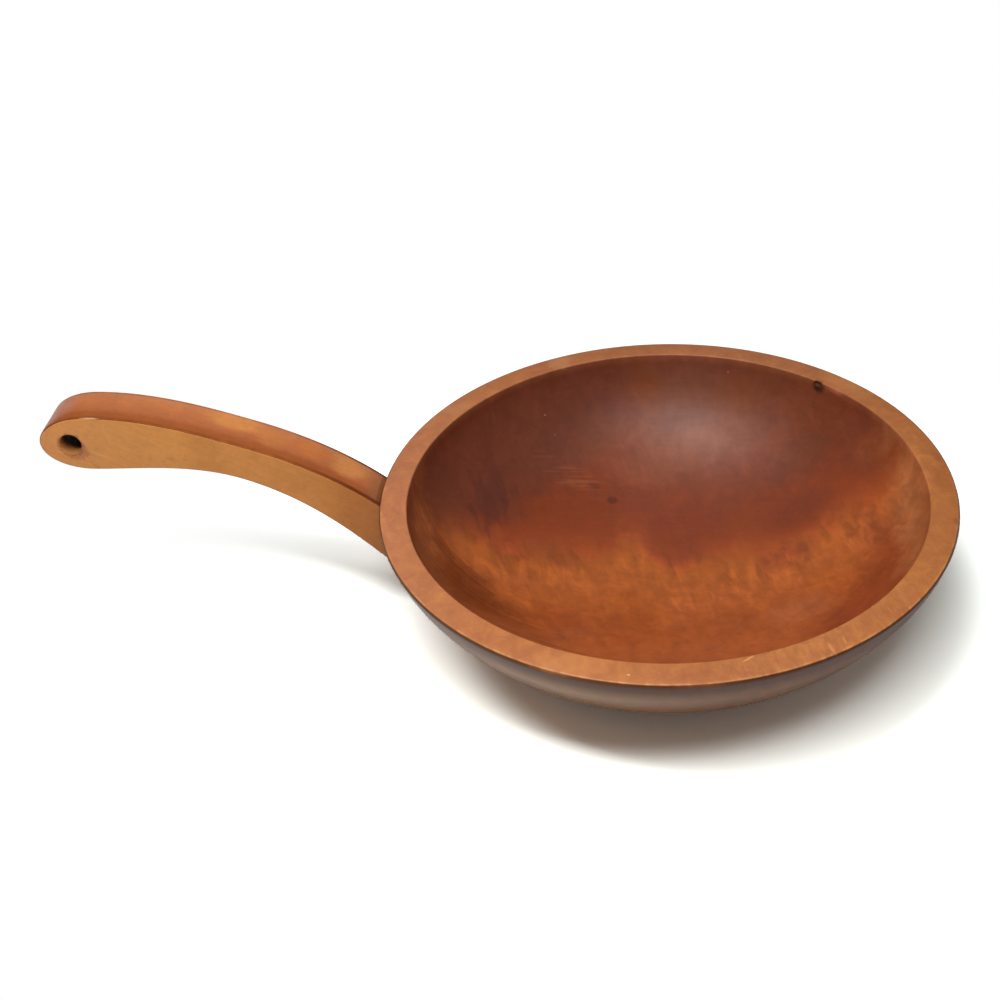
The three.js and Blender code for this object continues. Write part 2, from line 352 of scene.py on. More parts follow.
# Where the stain pooled: on the wall towards the back left and the back right, on the steep wall at the
# front left, and low on the right. It ran thin at the front, and just under the rim at the right. Just
# under the rim at the left the wall is painted lighter: painted light against the shade of the steep
# wall. Each place has a direction, the two distances along it between which it grows, a colour and a
# strength.
pool_fray = 30
pools = {
    "back_left": ((-0.8, 0.6, 0), (62, 86), "#63301e", 0.9),
    "back_right": ((0.7, 0.71, 0), (84, 106), "#6a3623", 0.7),
    "front_left": ((-0.7, -0.71, 0), (63, 78), "#70320c", 0.92),
    "front": ((0.1, -0.99, 0), (28, 58), "#ab5a2d", 0.6),
    "right": ((0.87, -0.5, 0), (70, 88), "#8a3d1b", 0.85),
    "right_top": ((1, 0, 0), (93, 104), "#a9663a", 0.9),
    # Painted light: lifts the shade of the steep wall just under the rim at the left.
    "left_top_painted_light": ((-0.94, -0.34, 0), (91, 101), "#93502a", 0.9),
}
hollow_stain = stain
for name, (direction, (start, end), colour, strength) in pools.items():
    reach = add_node(bowl_maple, "VectorMath", {0: bowl_place, 1: direction}, operation="DOT_PRODUCT")
    frayed = add_node(bowl_maple, "Math", {0: mottle, 1: pool_fray, 2: reach}, operation="MULTIPLY_ADD")
    pooled = add_node(
        bowl_maple,
        "MapRange",
        {
            "Value": frayed,
            "From Min": start + pool_fray / 2,
            "From Max": end + pool_fray / 2,
            "To Max": strength,
        },
        interpolation_type="SMOOTHSTEP",
        name=name,
    )
    hollow_stain = add_node(
        bowl_maple, "Mix", {0: pooled, 6: hollow_stain, 7: linear(colour)}, data_type="RGBA"
    )

# It also left redder and browner patches all over the hollow.
red_patch = add_node(
    bowl_maple, "MapRange", {"Value": mottle, "From Min": 0.5, "From Max": 0.66, "To Max": 0.3}
)
hollow_stain = add_node(
    bowl_maple, "Mix", {0: red_patch, 6: hollow_stain, 7: linear("#6b2f24")}, data_type="RGBA"
)

# The rim is paler, with amber and pink spots: pinkish at its left, orange at its right and browner at
# the back. The side is brown and darkest just under the rim. At the front left it is lighter: a painted
# reflection of the bright table.
rim_stain = add_node(bowl_maple, "MapRange", {"Value": swirl, "From Min": 0.3, "From Max": 0.7})
rim_tint = add_node(
    bowl_maple, "Mix", {0: rim_stain, 6: linear("#ab673b"), 7: linear("#b67140")}, data_type="RGBA"
)
side_tint = add_node(
    bowl_maple, "Mix", {0: rim_stain, 6: linear("#7b4d2b"), 7: linear("#875a36")}, data_type="RGBA"
)
rim_tints = {
    "rim_left": (bowl_axes["X"], (-60, -112), "#b06f4b", 0.8),
    "rim_right": (bowl_axes["X"], (60, 116), "#ad6834", 0.8),
    "rim_back": (bowl_axes["Y"], (60, 125), "#a76642", 0.8),
    "amber_spots": (blotches, (0.5, 0.68), "#c58440", 0.22),
    "pink_spots": (blotches, (0.5, 0.32), "#a85c42", 0.22),
}
for name, (guide, (start, end), colour, strength) in rim_tints.items():
    shift = add_node(
        bowl_maple,
        "MapRange",
        {"Value": guide, "From Min": start, "From Max": end, "To Max": strength},
        name=name,
    )
    rim_tint = add_node(bowl_maple, "Mix", {0: shift, 6: rim_tint, 7: linear(colour)}, data_type="RGBA")
# Painted reflection: the side is painted lighter towards the front left, where its varnish mirrors the
# bright table.
from_front = add_node(
    bowl_maple, "VectorMath", {0: bowl_place, 1: (-0.5, -0.87, 0)}, operation="DOT_PRODUCT"
)
painted_table_reflection = add_node(
    bowl_maple, "MapRange", {"Value": from_front, "From Min": 80, "From Max": 116, "To Max": 0.7}
)
side_tint = add_node(
    bowl_maple, "Mix", {0: painted_table_reflection, 6: side_tint, 7: linear("#a07549")}, data_type="RGBA"
)
under_rim = add_node(
    bowl_maple,
    "MapRange",
    {"Value": bowl_way, "From Min": rim_outer - 12, "From Max": rim_outer - 3, "To Max": 0.86},
    interpolation_type="SMOOTHSTEP",
)
side_tint = add_node(
    bowl_maple, "Mix", {0: under_rim, 6: side_tint, 7: linear("#4d250e")}, data_type="RGBA"
)
past_outer = add_node(
    bowl_maple, "MapRange", {"Value": bowl_way, "From Min": rim_outer, "From Max": rim_outer + 0.5}
)
past_inner = add_node(
    bowl_maple, "MapRange", {"Value": bowl_way, "From Min": rim_inner - 0.6, "From Max": rim_inner}
)
outside_tint = add_node(bowl_maple, "Mix", {0: past_outer, 6: side_tint, 7: rim_tint}, data_type="RGBA")
bowl_tint = add_node(
    bowl_maple, "Mix", {0: past_inner, 6: outside_tint, 7: hollow_stain}, data_type="RGBA"
)

# Marks. In the hollow: broad places where the stain is browner, redder or paler, a purple-brown stain,
# two dark pin knots and pale specks, the dark knot that broke out at the rim, and a warm, paler patch at
# the back that is painted highlight under the varnish's shine. On the rim: lighter and darker places,
# rubbed patches, two scratches, a dent and a dark smudge. Each has its place, its half sizes, its turn, a
# colour, a strength, the noise that frays it and how far.
marks = {
    "brown_veil": ((-52, 12, 20), (20, 11, 16), -0.2, "#7d4022", 0.45, mottle, 1.2),
    "purple_stain": ((-79, 31, 33), (12, 24, 30), 0, "#4a2220", 0.4, flames, 1.4),
    "first_knot": ((-34, 57, 24), (3.4, 2.2, 9), 0.1, "#43190f", 0.5, flames, 0.8),
    "second_knot": ((-25.5, 50.5, 20), (3.8, 2.4, 9), 0.1, "#43190f", 0.55, flames, 0.8),
    "first_speck": ((-58.5, 82.5, 46.7), (0.8, 0.8, 0.6), 0, "#b0764c", 0.5, flames, 0.8),
    "second_speck": ((-53.5, 76.5, 39.4), (0.6, 0.6, 0.5), 0, "#b0764c", 0.4, flames, 0.8),
    "third_speck": ((27.5, 104.2, 57.4), (0.5, 0.8, 1.1), 0, "#b0764c", 0.5, flames, 0.8),
    "brown_patch": ((60, 64, 35), (26, 16, 20), 0.3, "#64321b", 0.55, mottle, 1.4),
    "red_low_left": ((-43, -35, 20), (22, 15, 16), 0.3, "#8e3f17", 0.5, mottle, 1.4),
    "pale_low_right": ((57, -29, 23), (22, 15, 16), 0, "#a85c36", 0.6, mottle, 1.4),
    "pale_middle": ((-12, 67, 25), (22, 12, 14), 0, "#8c4828", 0.5, mottle, 1.4),
    "red_shade": ((62, 38, 25), (24, 15, 16), 0.5, "#6f3018", 0.6, mottle, 1),
    "amber_right": ((90, 51, 50), (15, 15, 15), 0, "#854420", 0.5, mottle, 1.4),
    # Painted highlight: warms and lightens the hollow under the window's reflection at the back.
    "warm_highlight_paint": ((10, 80, 33), (30, 14, 18), 0, "#8f4a24", 0.5, mottle, 1.4),
    "knot_tail": ((68.8, 83.2, 60.6), (3.2, 3.2, 3), 0, "#3f2219", 0.7, swirl, 0.5),
    "rim_knot": ((68.3, 84.9, 62.1), (4.6, 2.7, 3.2), -0.6, "#080504", 1, blotches, 0.6),
    "broken_arris": ((76.5, 78.8, 63.2), (7, 2.2, 2.4), -0.8, "#b5694a", 0.6, flames, 1),
    "front_rubbing": ((64, -98.5, 63.5), (1, 4, 3), 0.45, "#dfa064", 0.3, flames, 0.8),
    "front_scratch": ((33.5, -105.8, 63.5), (0.5, 3.6, 3), -0.9, "#e3a566", 0.8, flames, 0.8),
    "second_scratch": ((69, -94, 63.5), (0.6, 3, 3), 0.3, "#dda062", 0.35, flames, 0.8),
    "front_dent": ((-10, -115.7, 63.5), (0.9, 0.7, 3), 0, "#e8b07a", 0.7, flames, 0.8),
    "front_light": ((-34, -111, 63.5), (18, 9, 4), 0.1, "#c9854f", 0.4, mottle, 1.4),
    "front_shade": ((15, -116, 63.5), (16, 9, 4), 0, "#965530", 0.35, mottle, 1.4),
    "right_shade": ((116, 14, 63.5), (9, 20, 4), 0, "#97552a", 0.4, mottle, 1.4),
    "back_right_light": ((81, 84, 63.5), (16, 9, 4), -0.8, "#c9854f", 0.45, mottle, 1.4),
    "right_smudge": ((119, -19, 62), (3.5, 4.5, 4), 0, "#7a4626", 0.5, flames, 0.8),
    "back_rubbing": ((-52, 103, 63.5), (8, 9, 3), 0, "#c58a5e", 0.5, flames, 1.4),
    "left_rubbing": ((-97, 62, 63.5), (10, 7, 3), 0.4, "#c58a5e", 0.35, flames, 1.4),
}
for name, (place, half_sizes, turn, colour, strength, noise, depth) in marks.items():
    marked = spot(
        bowl_maple, bowl_place, place, (0, 0, turn), half_sizes, strength, noise, depth, name=name
    )
    bowl_tint = add_node(
        bowl_maple, "Mix", {0: marked, 6: bowl_tint, 7: linear(colour)}, data_type="RGBA"
    )

# Pale, thin streaks lie along the grain at the left of the hollow.
streaks_place = (-46, 59.5, 28.5)
streaks_sizes = (30, 9, 14)
streaks_strength = 0.32
streaks_here = spot(
    bowl_maple,
    bowl_place,
    streaks_place,
    (0, 0, -0.35),
    streaks_sizes,
    streaks_strength,
    flames,
    fray=0,
    core=0.2,
)
pale_streaks = add_node(
    bowl_maple,
    "MapRange",
    {"Value": fine_streaks, "From Min": 0.5, "From Max": 0.72, "To Max": streaks_here},
)
bowl_tint = add_node(
    bowl_maple, "Mix", {0: pale_streaks, 6: bowl_tint, 7: linear("#a5603c")}, data_type="RGBA"
)

# The outer arris is rubbed to bare wood in a thin, broken line round the front. Just under the inner
# arris the hollow is a little paler all round.
worn_middle = rim_outer + 0.6
worn_half_width = 0.6
worn_off = add_node(bowl_maple, "Math", {0: bowl_way, 1: worn_middle}, operation="SUBTRACT")
worn_off = add_node(bowl_maple, "Math", {0: worn_off}, operation="ABSOLUTE")
on_line = add_node(
    bowl_maple,
    "MapRange",
    {"Value": worn_off, "From Min": worn_half_width, "From Max": 0.2 * worn_half_width},
)
worn_front = add_node(
    bowl_maple, "MapRange", {"Value": bowl_axes["Y"], "From Min": 15, "From Max": -60, "To Max": 0.25}
)
broken = add_node(
    bowl_maple, "MapRange", {"Value": flames, "From Min": 0.42, "From Max": 0.6, "To Min": 0.15}
)
worn = add_node(bowl_maple, "Math", {0: on_line, 1: worn_front}, operation="MULTIPLY")
worn = add_node(bowl_maple, "Math", {0: worn, 1: broken}, operation="MULTIPLY")
bowl_tint = add_node(bowl_maple, "Mix", {0: worn, 6: bowl_tint, 7: linear("#e6b27c")}, data_type="RGBA")
under_arris = add_node(
    bowl_maple,
    "MapRange",
    {"Value": bowl_way, "From Min": rim_inner + 4, "From Max": rim_inner + 0.5, "To Max": 0.2},
    interpolation_type="SMOOTHSTEP",
)
paled = add_node(bowl_maple, "Math", {0: under_arris, 1: past_inner}, operation="MULTIPLY")
bowl_tint = add_node(bowl_maple, "Mix", {0: paled, 6: bowl_tint, 7: linear("#b0704a")}, data_type="RGBA")

# Growth layers are shells round a pith that lay behind and below the blank, along X. They show where
# the steep wall at the front left cuts them at a slant, and nowhere else.
from_pith = add_node(
    bowl_maple, "Mapping", {"Vector": bowl_place, "Location": (0, -104, 90), "Scale": (0.03, 1, 1)}
)
wander = add_node(bowl_maple, "TexNoise", {"Vector": bowl_place, "Scale": 1 / 60, "Detail": 1})
pith_distance = add_node(bowl_maple, "VectorMath", {0: from_pith}, operation="LENGTH")
shell = add_node(bowl_maple, "Math", {0: wander, 1: 8, 2: pith_distance}, operation="MULTIPLY_ADD")
layers = add_node(
    bowl_maple,
    "TexNoise",
    {"W": shell, "Scale": 1 / 1.7, "Detail": 1.5, "Roughness": 0.6},
    noise_dimensions="1D",
)
steep_wall = bowl_maple.node_tree.nodes["front_left"].outputs[0]
layer_depth = add_node(
    bowl_maple, "MapRange", {"Value": steep_wall, "From Max": 0.4, "To Max": past_inner}
)
layer_shade = add_node(
    bowl_maple,
    "MapRange",
    {"Value": layers, "From Min": 0.4, "From Max": 0.6, "To Min": 0.8, "To Max": 1.08},
)
layer_light = add_node(bowl_maple, "Mix", {0: layer_depth, 2: 1.0, 3: layer_shade}, data_type="FLOAT")

# The flames show most just in front of the stain's edge: partly the curly figure itself, and partly a
# painted sheen where its fibres catch the light.
near_edge = add_node(
    bowl_maple,
    "MapRange",
    {"Value": behind, "From Min": mean_fray - 45, "From Max": mean_fray - 12},
    interpolation_type="SMOOTHSTEP",
)
in_patches = add_node(
    bowl_maple,
    "MapRange",
    {"Value": mottle, "From Min": 0.4, "From Max": 0.58, "To Min": 0.15, "To Max": near_edge},
    interpolation_type="SMOOTHSTEP",
)
beyond_edge = add_node(
    bowl_maple,
    "MapRange",
    {"Value": behind, "From Min": mean_fray + 12, "From Max": mean_fray, "To Max": in_patches},
    interpolation_type="SMOOTHSTEP",
)
flame_light = add_node(
    bowl_maple,
    "MapRange",
    {"Value": flames, "From Min": 0.35, "From Max": 0.68, "To Min": 0.86, "To Max": 1.3},
)
flame_figure_and_sheen = add_node(bowl_maple, "Mix", {0: beyond_edge, 2: 1.0, 3: flame_light}, data_type="FLOAT")

# All the figure together, as one change of lightness. It is calmer on the rim and the side, but for
# short flames across the rim at the front right.
figure_depths = (
    (mottle, (0.35, 0.65), (0.94, 1.05)),
    (swirl, (0.3, 0.7), (0.9, 1.1)),
    (flames, (0.35, 0.65), (0.95, 1.06)),
    (blotches, (0.3, 0.7), (0.94, 1.06)),
    (streaks, (0.35, 0.65), (0.98, 1.02)),
    (fibre, (0.3, 0.7), (0.97, 1.03)),
)
figure = add_node(bowl_maple, "Math", {0: layer_light, 1: flame_figure_and_sheen}, operation="MULTIPLY")
for noise, (lowest, highest), (darkest, lightest) in figure_depths:
    light = add_node(
        bowl_maple,
        "MapRange",
        {"Value": noise, "From Min": lowest, "From Max": highest, "To Min": darkest, "To Max": lightest},
    )
    figure = add_node(bowl_maple, "Math", {0: figure, 1: light}, operation="MULTIPLY")
to_front_right = add_node(
    bowl_maple, "VectorMath", {0: bowl_place, 1: (0.6, -0.8, 0)}, operation="DOT_PRODUCT"
)
rim_darkest = add_node(
    bowl_maple,
    "MapRange",
    {"Value": to_front_right, "From Min": 90, "From Max": 110, "To Min": 0.97, "To Max": 0.84},
)
rim_lightest = add_node(
    bowl_maple,
    "MapRange",
    {"Value": to_front_right, "From Min": 90, "From Max": 110, "To Min": 1.03, "To Max": 1.16},
)
rim_flame_light = add_node(
    bowl_maple,
    "MapRange",
    {
        "Value": rim_flames,
        "From Min": 0.35,
        "From Max": 0.68,
        "To Min": rim_darkest,
        "To Max": rim_lightest,
    },
)
calm_figure = add_node(bowl_maple, "Mix", {0: 0.45, 2: rim_flame_light, 3: figure}, data_type="FLOAT")
figure_kept = add_node(bowl_maple, "Mix", {0: past_inner, 2: calm_figure, 3: figure}, data_type="FLOAT")
bowl_colour = add_node(bowl_maple, "VectorMath", {0: bowl_tint, "Scale": figure_kept}, operation="SCALE")

# The rim and the hollow have a thin coat of varnish, and a satin shine that changes with the swirls. The
# side is smoother, has no coat and is dull just under the rim. The broken knot has no coat and no shine.
in_knot = bowl_maple.node_tree.nodes["rim_knot"].outputs[0]
varnish_left = add_node(bowl_maple, "MapRange", {"Value": in_knot, "To Min": 0.25, "To Max": 0})
varnish_weight = add_node(bowl_maple, "MapRange", {"Value": past_outer, "To Max": varnish_left})
swirl_roughness = add_node(
    bowl_maple,
    "MapRange",
    {"Value": swirl, "From Min": 0.3, "From Max": 0.7, "To Min": 0.46, "To Max": 0.38},
)
varnish_roughness = add_node(
    bowl_maple, "MapRange", {"Value": past_outer, "To Min": 0.28, "To Max": swirl_roughness}
)
dull_share = add_node(bowl_maple, "Math", {0: past_outer, 1: under_rim}, operation="LESS_THAN")
gloss_left = add_node(bowl_maple, "MapRange", {"Value": in_knot, "To Min": 0.5, "To Max": 0})
varnish_gloss = add_node(
    bowl_maple, "MapRange", {"Value": dull_share, "To Min": gloss_left, "To Max": 0.3}
)
bowl_relief = add_node(bowl_maple, "Bump", {"Height": fibre, "Strength": 0.25, "Distance": 0.05 * mm})
bowl_finish = {
    "Base Color": bowl_colour,
    "Coat Weight": varnish_weight,
    "Coat Roughness": 0.4,
    "Roughness": varnish_roughness,
    "Specular IOR Level": varnish_gloss,
    "Normal": bowl_relief,
}
fill(bowl_shader, bowl_finish)
bowl.data.materials.append(bowl_maple)
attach(bowl, "root")
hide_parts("bowl")


# Handle. Sawn from a maple board of one thickness: a deep rounded butt, a narrow waist and an inner
# end that is hollowed to the bowl's side and glued there. Its edges are rounded by hand, and a hole
# is bored through the butt, so that the bowl can hang on a peg.
handle_thickness = 21.5 * mm
handle_reach = 143 * mm
butt_rise = 27.5 * mm
butt_depth = 26.4 * mm
butt_round = 22 * mm
waist_depth = 16.7 * mm
waist_distance = 73 * mm
root_depth = 20.8 * mm
root_drop = 21 * mm
root_standoff = 5 * mm
root_angle = math.radians(46)
root_lead = 78 * mm
butt_lead = 32 * mm
toe_drop = 46 * mm
toe_lead = 13 * mm
toe_round = 24 * mm
handle_arris = 0.9 * mm
hang_hole_radius = 4.8 * mm
hang_hole_inset = 13.7 * mm
hang_hole_ease = 0.6 * mm
hang_hole_facets = 64
glue_gap = 0.3 * mm
tongue_steps = 400
grip_steps = 800
round_steps = 14
straight_steps = 64
butt_reach = side_radius + handle_reach
butt_height = bowl_height + butt_rise
toe_height = bowl_height - toe_drop
root_height = bowl_height - root_drop


def bezier(ends, leads, share):
    """The point at a share of the way along a curve with two ends and a lead at each."""
    (start, end), (first, last) = ends, leads
    rest = 1 - share
    return (
        start * rest**3
        + first * 3 * rest * rest * share
        + last * 3 * rest * share * share
        + end * share**3
    )


def smoothstep(value, low, high):
    """Rises from 0 to 1 between low and high, level at both ends."""
    share = min(max((value - low) / (high - low), 0), 1)
    return share * share * (3 - 2 * share)


toe = Vector((side_radius_at(toe_height), 0, toe_height))
toe_normal = side_normal_at(toe_height)
toe_direction = Vector((-toe_normal.z, 0, toe_normal.x))
root = Vector((side_radius_at(root_height) + root_standoff, 0, root_height))
root_direction = Vector((math.cos(root_angle), 0, math.sin(root_angle)))
butt = Vector((butt_reach, 0, butt_height))
tongue_leads = (toe + toe_direction * toe_lead, root - root_direction * toe_lead)
grip_leads = (root + root_direction * root_lead, butt - Vector((butt_lead, 0, 0)))
tongue = [bezier((toe, root), tongue_leads, i / tongue_steps) for i in range(tongue_steps + 1)]
grip = [bezier((root, butt), grip_leads, i / grip_steps) for i in range(1, grip_steps + 1)]
middle = tongue + grip
travelled = [0.0]
for start, end in zip(middle, middle[1:]):
    travelled.append(travelled[-1] + (end - start).length)
root_at = travelled[len(tongue) - 1]
handle_length = travelled[-1]


def middle_at(distance):
    """The handle's middle line at a distance from its toe: the point, and the way across it."""
    n = next((i for i, t in enumerate(travelled) if t >= distance), len(travelled) - 1)
    n = max(n, 1)
    start, end = middle[n - 1], middle[n]
    share = (distance - travelled[n - 1]) / (travelled[n] - travelled[n - 1])
    along = (end - start).normalized()
    return start.lerp(end, share), Vector((-along.z, 0, along.x))


def depth_at(distance):
    """The handle's depth at a distance from its toe. Both of its ends are rounded."""
    waist_at = root_at + waist_distance
    narrowing = smoothstep(distance, root_at, waist_at)
    swelling = smoothstep(distance, waist_at, handle_length - butt_round)
    depth = root_depth + (waist_depth - root_depth) * narrowing
    depth += (butt_depth - depth) * swelling
    into_toe = min(max(1 - distance / toe_round, 0), 1)
    into_butt = min(max(1 - (handle_length - distance) / butt_round, 0), 1)
    return depth * math.sqrt(1 - into_toe**2) * math.sqrt(1 - into_butt**2)


straight_end = handle_length - butt_round
rounding = [i / round_steps * math.pi / 2 for i in range(round_steps + 1)]
stations = [toe_round * (1 - math.cos(turn)) for turn in rounding[:-1]]
stations += [toe_round + (straight_end - toe_round) * i / straight_steps for i in range(straight_steps)]
stations += [handle_length - butt_round * (1 - math.sin(turn)) for turn in rounding]
upper_edge = []
lower_edge = []
for distance in stations:
    point, across = middle_at(distance)
    upper_edge.append(point + across * depth_at(distance) / 2)
    lower_edge.append(point - across * depth_at(distance) / 2)
outline = [
    Vector((-point.x, -handle_thickness / 2, point.z))
    for point in lower_edge + upper_edge[-2:0:-1]
]

handle = draw_line("sawn_handle", outline)
bpy.ops.mesh.edge_face_add()
bpy.ops.mesh.extrude_region_move(TRANSFORM_OT_translate={"value": (0, handle_thickness, 0)})
bpy.ops.mesh.select_all(action="SELECT")
bpy.ops.mesh.normals_make_consistent(inside=False)


def select_edges(piece, chosen):
    """Edits the piece with those of its edges selected that chosen names by their two ends."""
    bpy.ops.object.mode_set(mode="EDIT")
    bpy.ops.mesh.select_all(action="DESELECT")
    bpy.ops.object.mode_set(mode="OBJECT")
    corners = piece.data.vertices
    for edge in piece.data.edges:
        start, end = (corners[i].co for i in edge.vertices)
        edge.select = chosen(start, end)
    bpy.context.tool_settings.mesh_select_mode = (False, True, False)
    bpy.ops.object.mode_set(mode="EDIT")


same_level = 0.01 * mm
near_hole = 0.05 * mm
select_edges(handle, lambda start, end: abs(start.y - end.y) < same_level)
bpy.ops.mesh.bevel(offset=handle_arris, offset_type="OFFSET", segments=4, clamp_overlap=False)
bpy.ops.object.mode_set(mode="OBJECT")

coping_side = side_line(base_ease, bowl_height, glue_gap, side_steps)
coping_top = butt_height + butt_depth
coping_line = [
    Vector((0, 0, coping_side[0].z)),
    *coping_side,
    Vector((coping_side[-1].x, 0, coping_top)),
    Vector((0, 0, coping_top)),
]
coping = draw_line("coping_tool", coping_line)
turn_line(lathe_steps)
cut_away(handle, coping)
hole_place = Vector((hang_hole_inset - butt_reach, 0, butt_height))
bpy.ops.object.select_all(action="DESELECT")
bpy.ops.mesh.primitive_cylinder_add(
    vertices=hang_hole_facets,
    radius=hang_hole_radius,
    depth=2 * handle_thickness,
    location=hole_place,
    rotation=(math.pi / 2, 0, 0),
)
bpy.ops.object.transform_apply(location=True, rotation=True)
cut_away(handle, bpy.context.object)
select_edges(
    handle,
    lambda start, end: abs(start.y - end.y) < same_level
    and all(
        abs((Vector((p.x, 0, p.z)) - hole_place).length - hang_hole_radius) < near_hole
        for p in (start, end)
    ),
)
bpy.ops.mesh.bevel(offset=hang_hole_ease, offset_type="OFFSET", segments=3)
bpy.ops.object.mode_set(mode="OBJECT")
bpy.ops.object.shade_smooth_by_angle(angle=smooth_angle)
weighted = handle.modifiers.new("flat_sides", "WEIGHTED_NORMAL")
weighted.keep_sharp = True
bpy.ops.object.modifier_apply(modifier=weighted.name)

# Oiled maple. Its sides were sanded back to honey-coloured wood, with the grain slanting down towards
# the bowl, and the red-brown stain is left on the top, the end and the underside. A dark line along the
# arrises is partly pooled stain and partly painted shade. Painted shade also darkens the foot, the joint
# with the bowl and the inside of the bore, which is dull, and near the butt lie a painted sheen and a
# painted highlight. Pattern sizes and places are in millimetres.
handle_maple = bpy.data.materials.new("oiled_maple")
handle_maple.use_nodes = True
handle_shader = handle_maple.node_tree.nodes["Principled BSDF"]
handle_where = add_node(handle_maple, "TexCoord", {}).node.outputs["Object"]
handle_place = add_node(handle_maple, "Mapping", {"Vector": handle_where, "Scale": (1000, 1000, 1000)})
handle_axes = add_node(handle_maple, "SeparateXYZ", {"Vector": handle_place}).node.outputs
from_middle = add_node(handle_maple, "Math", {0: handle_axes["Y"]}, operation="ABSOLUTE")

# Grain, drawn about a millimetre wide because the real fibre is finer than a pixel, short pores along
# it, and cloudy patches and flecks where the stain took more or less. It slants down towards the bowl.
grain_slant = (0, math.radians(27), 0)
grain_finish = {"Detail": 3, "Distortion": 0.6}
grain = stretched_noise(handle_maple, handle_place, grain_slant, (16, 1, 1), grain_finish)
pores = stretched_noise(handle_maple, handle_place, grain_slant, (3.2, 0.9, 0.9), {"Detail": 1})
clouds = add_node(
    handle_maple, "TexNoise", {"Vector": handle_place, "Scale": 1 / 17, "Detail": 4, "Roughness": 0.6}
)
flecks = add_node(
    handle_maple,
    "TexNoise",
    {"Vector": handle_place, "Scale": 1 / 5, "Detail": 3, "Roughness": 0.65, "Distortion": 0.8},
)

# Sides: paler towards the butt, with one small knot, one dark fleck and a pale line of grain.
side_share = add_node(
    handle_maple, "MapRange", {"Value": handle_axes["X"], "From Min": -255, "From Max": -105}
)
sanded = add_node(handle_maple, "ValToRGB", {"Fac": side_share})
sanded_stops = {
    0: "#d98f4b",
    0.2: "#d48c45",
    0.33: "#d58c42",
    0.42: "#cb8239",
    0.5: "#cf863e",
    0.63: "#ca813b",
    0.7: "#c47d38",
    0.75: "#bf7730",
    0.81: "#b46b27",
    1: "#a86022",
}
set_stops(sanded, sanded_stops)
pore_shade = add_node(
    handle_maple,
    "MapRange",
    {"Value": pores, "From Min": 0.62, "From Max": 0.74, "To Min": 1, "To Max": 0.86},
)
sides = add_node(handle_maple, "VectorMath", {0: sanded, "Scale": pore_shade}, operation="SCALE")
side_spots = {
    "waist_knot": ((-208.6, 0, 84.6), (3.6, 30, 2.6), "#9a6431", 0.4),
    "butt_fleck": ((-243, 0, 80.5), (2.4, 30, 1.2), "#9a6431", 0.4),
    "pale_grain": ((-240, 0, 86.5), (9, 30, 1.2), "#e6a868", 0.45),
}
for name, (place, half_sizes, colour, strength) in side_spots.items():
    spotted = spot(
        handle_maple,
        handle_place,
        place,
        grain_slant,
        half_sizes,
        strength,
        flecks,
        fray=1.6,
        core=0.2,
        name=name,
    )
    sides = add_node(handle_maple, "Mix", {0: spotted, 6: sides, 7: linear(colour)}, data_type="RGBA")

# Top, end and underside: across it from the near side the stain runs out from red-brown to pinkish
# orange. Round the butt it is paler and pinker with a painted sheen, and it is rubbed through at the far
# side of the waist and at the foot.
across_share = add_node(
    handle_maple,
    "MapRange",
    {
        "Value": handle_axes["Y"],
        "From Min": -handle_thickness / 2 / mm,
        "From Max": handle_thickness / 2 / mm,
    },
)
stained_top = add_node(handle_maple, "ValToRGB", {"Fac": across_share})
top_stops = {
    0: "#8a481c",
    0.08: "#98501f",
    0.22: "#9c542b",
    0.36: "#ab6238",
    0.5: "#b0663b",
    0.69: "#b56c40",
    0.87: "#b87248",
    1: "#b06a44",
}
set_stops(stained_top, top_stops)
left_stain = stained_top
paler_places = {
    # Painted sheen: the butt's end is painted pinker and paler where it catches the light.
    "butt_painted_sheen": ((-262, 3), (20, 14), "#bd8068", 0.55),
    "rubbed_waist": ((-183, 5.5), (16, 8.5), "#cf8648", 0.8),
    "pale_waist": ((-167, 2), (9, 9), "#c37a40", 0.5),
    "rubbed_foot": ((-134.5, 2), (8.5, 11), "#cb8549", 0.75),
    "rubbed_middle": ((-151, 3), (8, 8), "#c47135", 0.5),
}
upright = (0, 0, 0)
endless = 100000
for name, ((x, y), (half_length, half_width), colour, strength) in paler_places.items():
    rubbed = spot(
        handle_maple,
        handle_place,
        (x, y, 0),
        upright,
        (half_length, half_width, endless),
        strength,
        clouds,
        fray=1.2,
        name=name,
    )
    left_stain = add_node(
        handle_maple, "Mix", {0: rubbed, 6: left_stain, 7: linear(colour)}, data_type="RGBA"
    )
# Painted shade at the foot: the top is painted darker towards the bowl, darkest in a thin line at the
# joint, where shade falls into the gap.
flat_place = add_node(handle_maple, "Mapping", {"Vector": handle_place, "Scale": (1, 1, 0)})
from_bowl = add_node(handle_maple, "VectorMath", {0: flat_place}, operation="LENGTH")
feet = {"foot_painted_shade": ((129, 124), "#8f5a38", 0.6), "joint_painted_shade": ((123.1, 122.6), "#5e3019", 0.5)}
footed = left_stain
for name, ((start, end), colour, strength) in feet.items():
    foot = add_node(
        handle_maple,
        "MapRange",
        {"Value": from_bowl, "From Min": start, "From Max": end, "To Max": strength},
        interpolation_type="SMOOTHSTEP",
        name=name,
    )
    footed = add_node(handle_maple, "Mix", {0: foot, 6: footed, 7: linear(colour)}, data_type="RGBA")

